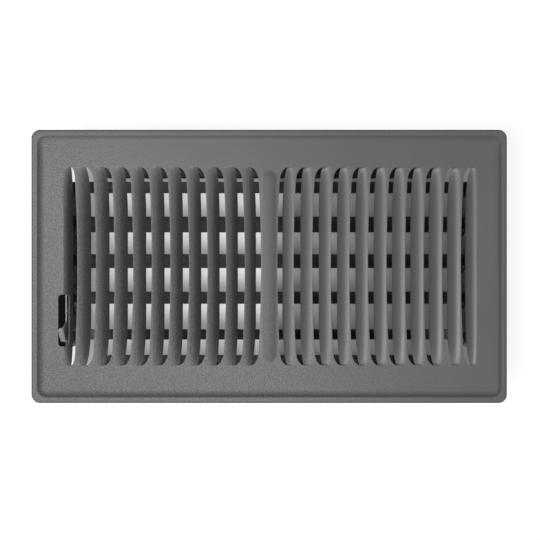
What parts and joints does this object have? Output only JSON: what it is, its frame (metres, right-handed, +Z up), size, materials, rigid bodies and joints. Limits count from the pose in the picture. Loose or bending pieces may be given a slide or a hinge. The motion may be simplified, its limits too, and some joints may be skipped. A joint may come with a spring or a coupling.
{
  "type": "floor register",
  "caption": "Rectangular louvred floor register: stepped faceplate over an open damper box, with blades that a thumb lever opens and closes through a link bar.",
  "frame": {"origin": "centre of the box, at the level of the long walls' bottom edges", "axes": "+X along the register away from the thumb lever, +Y across it away from the lever's open end, +Z up out of the faceplate"},
  "size_m": [0.343, 0.1972, 0.0539],
  "materials": {
    "faceplate_paint": "graphite grey powder coat, fine grain, low sheen",
    "box_paint": "thin dark grey paint",
    "blade_paint": "thin dark grey paint",
    "lever_paint": "graphite grey powder coat",
    "rivet_steel": "plain zinc steel"
  },
  "bodies": {
    "frame": {"faceplate": "faceplate_paint", "side_wall_front": "box_paint", "side_wall_back": "box_paint", "end_plate_left": "box_paint", "end_plate_right": "box_paint", "pivot_rivets": "rivet_steel", "lever_rivet": "rivet_steel"},
    "lever": {"thumb_lever": "lever_paint", "lever_stud": "rivet_steel"},
    "link": {"link_bar": "box_paint"},
    "damper_1": {"blade_1": "blade_paint", "link_rivet_1": "rivet_steel"},
    "damper_2": {"blade_2": "blade_paint", "link_rivet_2": "rivet_steel"},
    "damper_3": {"blade_3": "blade_paint", "link_rivet_3": "rivet_steel"},
    "damper_4": {"blade_4": "blade_paint", "link_rivet_4": "rivet_steel"},
    "damper_5": {"blade_5": "blade_paint", "link_rivet_5": "rivet_steel"}
  },
  "joints": [
    {"name": "lever_swing", "type": "hinge", "parent": "frame", "child": "lever", "pos_m": [-0.1487, -0.0391, 0.034], "axis": [-1, 0, 0], "range_deg": [0, 66]},
    {"name": "link_swing", "type": "hinge", "parent": "lever", "child": "link", "pos_m": [-0.1476, -0.03256, 0.02394], "axis": [-1, 0, 0], "range_deg": [-66, 0]},
    {"name": "blade_1_turn", "type": "hinge", "parent": "frame", "child": "damper_1", "pos_m": [0, 0.0554, 0.029], "axis": [-1, 0, 0], "range_deg": [0, 66]},
    {"name": "blade_2_turn", "type": "hinge", "parent": "frame", "child": "damper_2", "pos_m": [0, 0.0277, 0.029], "axis": [-1, 0, 0], "range_deg": [0, 66]},
    {"name": "blade_3_turn", "type": "hinge", "parent": "frame", "child": "damper_3", "pos_m": [0, 0, 0.029], "axis": [-1, 0, 0], "range_deg": [0, 66]},
    {"name": "blade_4_turn", "type": "hinge", "parent": "frame", "child": "damper_4", "pos_m": [0, -0.0277, 0.029], "axis": [-1, 0, 0], "range_deg": [0, 66]},
    {"name": "blade_5_turn", "type": "hinge", "parent": "frame", "child": "damper_5", "pos_m": [0, -0.0554, 0.029], "axis": [-1, 0, 0], "range_deg": [0, 66]}
  ],
  "couplings": [
    {"joint": "link_swing", "follows": "lever_swing", "ratio": -1},
    {"joint": "blade_1_turn", "follows": "lever_swing", "ratio": 1},
    {"joint": "blade_2_turn", "follows": "lever_swing", "ratio": 1},
    {"joint": "blade_3_turn", "follows": "lever_swing", "ratio": 1},
    {"joint": "blade_4_turn", "follows": "lever_swing", "ratio": 1},
    {"joint": "blade_5_turn", "follows": "lever_swing", "ratio": 1}
  ]
}
